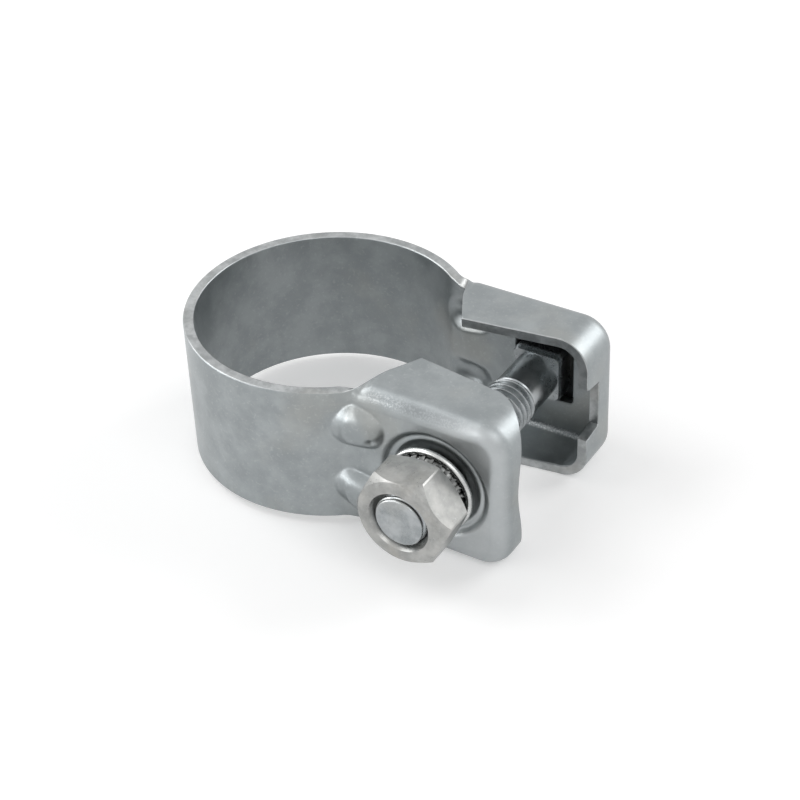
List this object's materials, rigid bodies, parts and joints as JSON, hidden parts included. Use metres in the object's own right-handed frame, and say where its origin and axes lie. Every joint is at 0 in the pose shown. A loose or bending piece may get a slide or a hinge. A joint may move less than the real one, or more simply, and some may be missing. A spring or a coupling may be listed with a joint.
{
  "type": "exhaust clamp",
  "caption": "Pressed steel band clamp for an exhaust pipe, its tray-shaped ears drawn together by a carriage bolt, serrated washer and hexagon nut.",
  "frame": {"origin": "centre of the base, under the middle of the whole part's box", "axes": "+Z along the pipe's axis, +X from the ring towards the ears' tips, -Y from the bolt's head towards its nut"},
  "size_m": [0.0766, 0.06, 0.031],
  "materials": {
    "zinc_sheet": "satin zinc plate on pressed sheet steel",
    "zinc_bolt": "satin zinc plate",
    "bright_washer": "bright zinc plate",
    "bright_nut": "bright zinc plate"
  },
  "bodies": {
    "clamp": {"clamp_band": "zinc_sheet", "carriage_bolt": "zinc_bolt"},
    "washer": {"lock_washer": "bright_washer"},
    "nut": {"hex_nut": "bright_nut"}
  },
  "joints": [
    {"name": "washer_travel", "type": "slide", "parent": "clamp", "child": "washer", "axis": [0, -1, 0], "range_m": [0, 0.006]},
    {"name": "nut_turn", "type": "hinge", "parent": "washer", "child": "nut", "pos_m": [0.0237, 0.003, 0.0155], "axis": [0, -1, 0], "range_deg": [0, 1440]}
  ],
  "couplings": [
    {"joint": "washer_travel", "follows": "nut_turn", "m_per_rad": 0.00023873}
  ]
}
